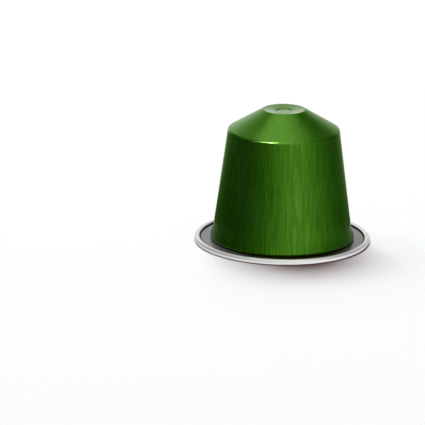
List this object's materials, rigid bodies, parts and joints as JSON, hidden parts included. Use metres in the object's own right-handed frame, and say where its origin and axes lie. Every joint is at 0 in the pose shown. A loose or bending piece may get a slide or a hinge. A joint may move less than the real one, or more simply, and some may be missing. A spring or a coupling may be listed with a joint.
{
  "type": "coffee pod",
  "caption": "Sealed coffee pod: a tapered green aluminium cup with a dished dome, standing on its rolled rim, with a sealing ring on the flange and a puckered foil lid.",
  "frame": {"origin": "on the pod's axis, in the plane of the rim's crest that it stands on", "axes": "+Z along the axis, from the foil lid up to the dome; X and Y are equal"},
  "size_m": [0.037, 0.037, 0.0286],
  "materials": {
    "green_lacquer": "transparent green lacquer over brushed aluminium, satin to gloss",
    "silver_foil": "satin aluminium foil with pressed puckers",
    "grey_seal": "dark grey elastomer, satin, which shines at a low angle",
    "bare_rim": "bare rolled aluminium, satin"
  },
  "bodies": {
    "root": {"cup": "green_lacquer", "foil_lid": "silver_foil", "sealing_ring": "grey_seal"}
  },
  "joints": []
}
